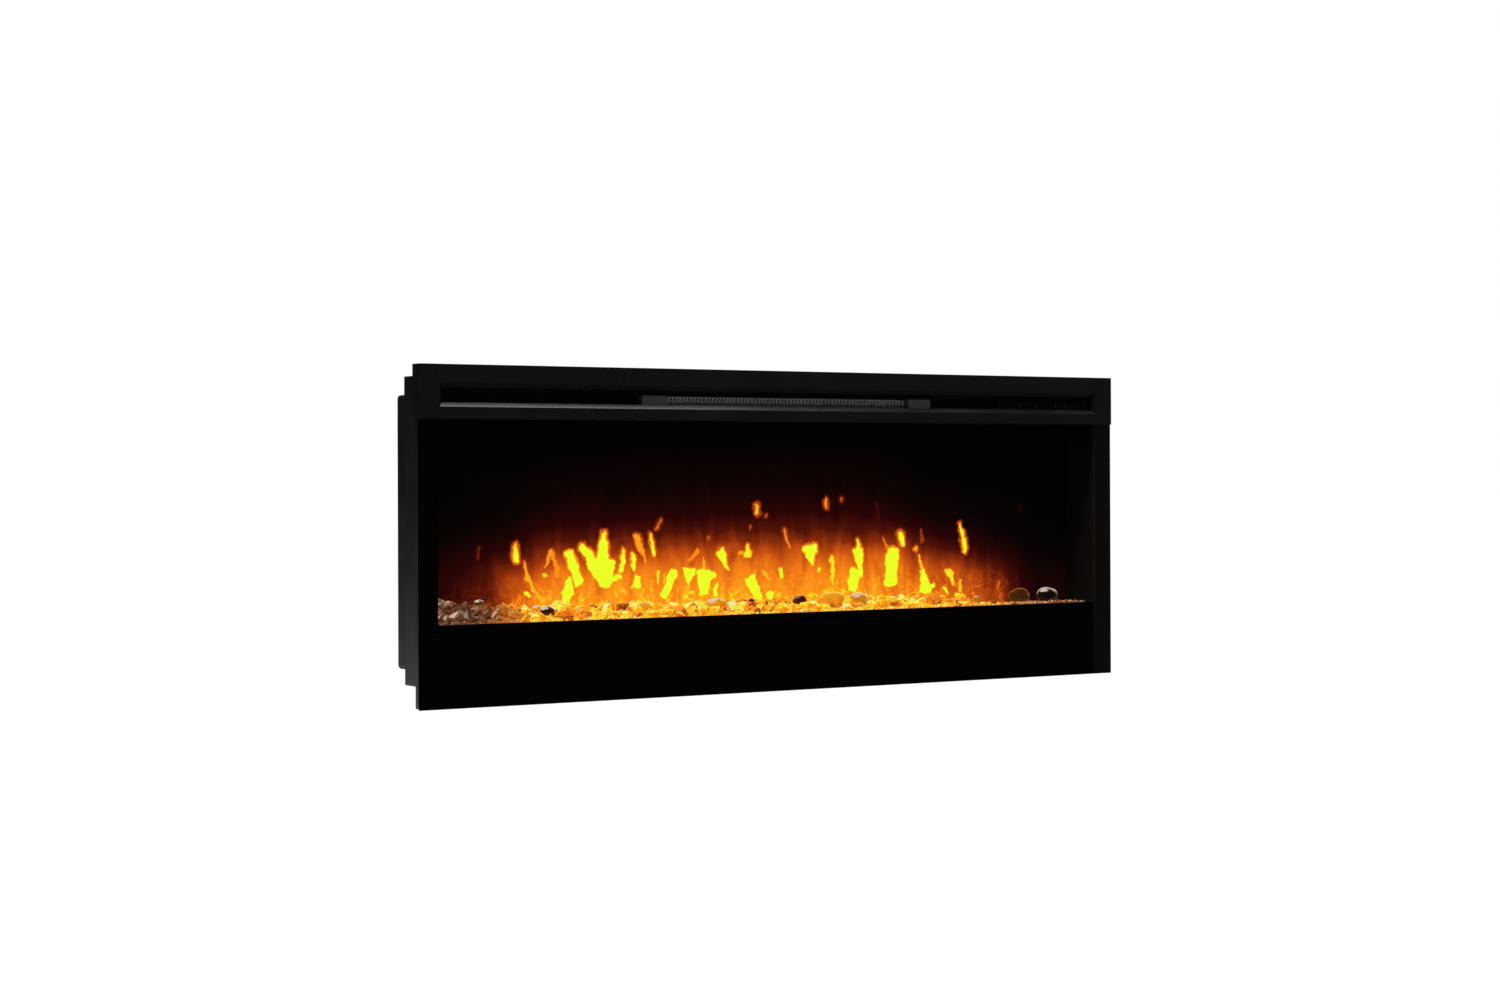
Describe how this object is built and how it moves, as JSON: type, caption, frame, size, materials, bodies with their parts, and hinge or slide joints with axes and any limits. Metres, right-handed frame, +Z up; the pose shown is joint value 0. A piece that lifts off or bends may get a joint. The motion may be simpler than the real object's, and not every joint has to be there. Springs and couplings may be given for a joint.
{
  "type": "electric fireplace",
  "caption": "Wide wall-hung electric fire with a slotted top bezel, fan heater, pull-off glass front, crystal ember bed, flame screen and stepped steel casing.",
  "frame": {"origin": "middle of the wall rail's rear face, in the plane of the wall", "axes": "+X to the right seen from the front, -Y out of the glass front, +Y into the wall, +Z up"},
  "size_m": [1.276, 0.18, 0.496],
  "materials": {
    "casing_paint": "satin charcoal powder coat",
    "bezel_paint": "matt black powder coat",
    "bright_steel": "zinc plated sheet",
    "front_glass": "clear toughened, polished edges",
    "border_print": "black ceramic print on glass",
    "black_plastic": "fine spark texture",
    "outlet_plastic": "heat resistant moulding, satin",
    "outlet_mesh": "black stoved mesh",
    "rubber": "matt",
    "button_metal": "spun satin",
    "receiver_lens": "polished dark red",
    "circuit_board": "solder resist",
    "led_board": "white resist",
    "ceramic": "steatite, unglazed",
    "flame_screen": "smoked diffusing acrylic",
    "ember_tray": "clear amber moulding",
    "crystals": "clear and amber crystals"
  },
  "bodies": {
    "casing": {"bezel_clip_left": "bright_steel", "bezel_clip_right": "bright_steel", "cable_gland": "black_plastic", "control_board": "circuit_board", "control_strip": "black_plastic", "electrics_tray": "bright_steel", "element_holder_left": "ceramic", "element_holder_right": "ceramic", "ember_bed": "crystals", "ember_led_strip": "led_board", "ember_tray": "ember_tray", "fan_bearing": "ceramic", "fan_motor": "bright_steel", "firebox_ceiling": "bezel_paint", "firebox_side_left": "bezel_paint", "firebox_side_right": "bezel_paint", "flame_cutout": "bright_steel", "flame_led_strip": "led_board", "flame_screen": "flame_screen", "flicker_motor": "bright_steel", "flicker_motor_bracket": "bright_steel", "glass_catch_lower_left": "black_plastic", "glass_catch_lower_right": "black_plastic", "glass_catch_upper_left": "black_plastic", "glass_catch_upper_right": "black_plastic", "hanging_hook_left": "bright_steel", "hanging_hook_right": "bright_steel", "heater_housing": "bright_steel", "heating_element": "bright_steel", "led_channel": "bright_steel", "outlet_mesh": "outlet_mesh", "outlet_surround": "outlet_plastic", "power_board": "circuit_board", "rear_casing": "casing_paint", "receiver_lens": "receiver_lens", "recess_frame": "casing_paint", "rod_bearing": "ceramic", "slot_backplate": "bezel_paint", "spacer_foot_left": "rubber", "spacer_foot_right": "rubber", "terminal_block": "ceramic", "thermal_cutout": "black_plastic", "top_bezel": "bezel_paint", "wall_rail": "bright_steel"},
    "glass_front": {"front_glass": "front_glass", "glass_border": "border_print", "glass_carrier": "bezel_paint", "glass_gasket": "rubber", "glass_stud_lower_left": "bright_steel", "glass_stud_lower_right": "bright_steel", "glass_stud_upper_left": "bright_steel", "glass_stud_upper_right": "bright_steel"},
    "power_button": {"power_button": "button_metal"},
    "flame_button": {"flame_button": "button_metal"},
    "rocker": {"rocker_key": "black_plastic"},
    "fan": {"fan_impeller": "bright_steel"},
    "flicker": {"flicker_rod": "bright_steel", "flicker_coupling": "rubber"}
  },
  "joints": [
    {"name": "glass_pull_off", "type": "slide", "parent": "casing", "child": "glass_front", "axis": [0, -1, 0], "range_m": [0, 0.12]},
    {"name": "power_press", "type": "slide", "parent": "casing", "child": "power_button", "axis": [0, 1, 0], "range_m": [0, 0.0012], "stiffness_N_per_m": 300, "springref_m": -0.001},
    {"name": "flame_press", "type": "slide", "parent": "casing", "child": "flame_button", "axis": [0, 1, 0], "range_m": [0, 0.0012], "stiffness_N_per_m": 300, "springref_m": -0.001},
    {"name": "rocker_tilt", "type": "hinge", "parent": "casing", "child": "rocker", "pos_m": [0.451, -0.166, 0.0975], "axis": [0, 0, 1], "range_deg": [0, 14]},
    {"name": "fan_spin", "type": "hinge", "parent": "casing", "child": "fan", "pos_m": [0, -0.04665, 0.07695], "axis": [1, 0, 0], "continuous": true},
    {"name": "flicker_spin", "type": "hinge", "parent": "casing", "child": "flicker", "pos_m": [0, -0.04235, -0.2355], "axis": [1, 0, 0], "continuous": true}
  ]
}
